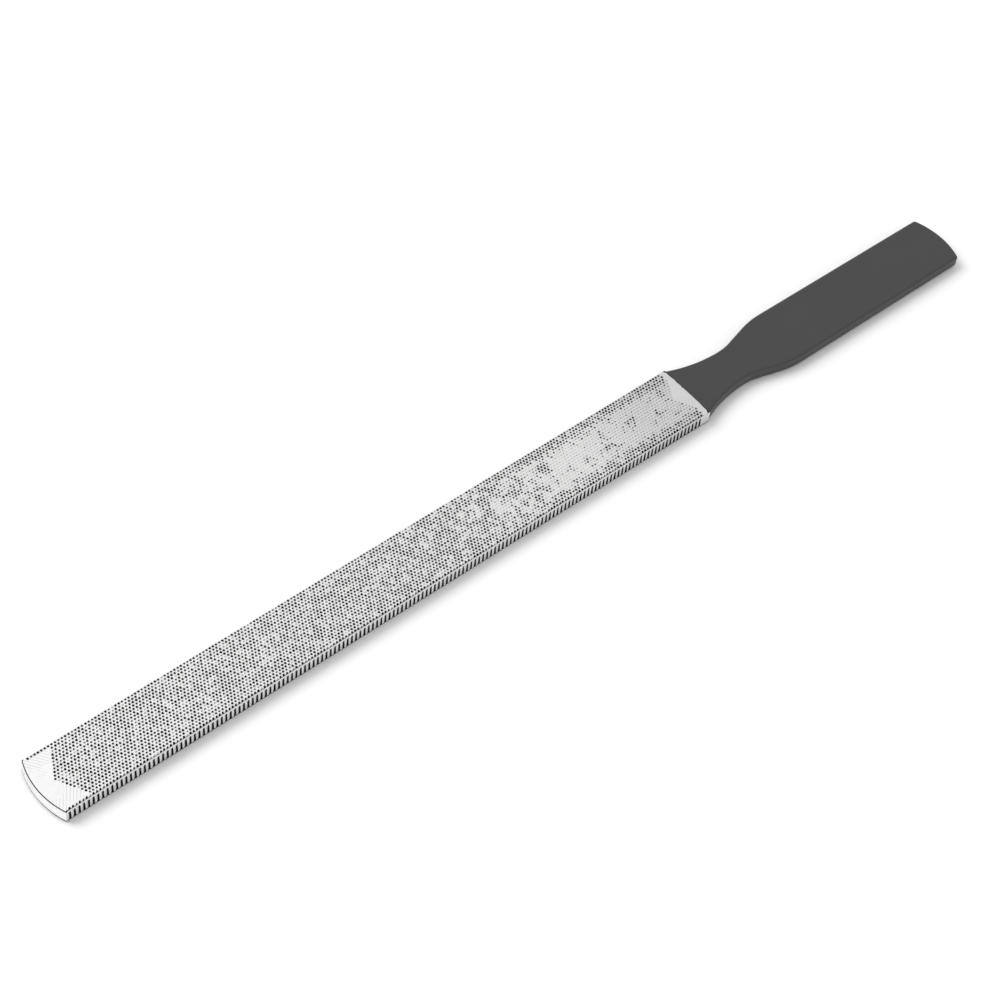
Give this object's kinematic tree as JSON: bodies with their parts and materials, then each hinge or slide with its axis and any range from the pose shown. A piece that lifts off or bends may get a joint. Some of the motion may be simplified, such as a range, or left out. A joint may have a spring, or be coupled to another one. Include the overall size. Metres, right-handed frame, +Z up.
{
  "type": "farrier rasp",
  "caption": "Long flat rasp for trimming hooves: a toothed steel blade with a rounded toe, and a waisted flat handle coated in vinyl.",
  "frame": {"origin": "under the middle of the object, on the surface that it lies on", "axes": "+X from the toe to the handle, +Y across the blade, +Z up out of the rasp cut face"},
  "size_m": [0.45, 0.0266, 0.0064],
  "materials": {
    "steel": "bright, toothed and ground",
    "vinyl": "satin moulded vinyl"
  },
  "bodies": {
    "root": {"rasp_blank": "steel", "handle_sleeve": "vinyl"}
  },
  "joints": []
}
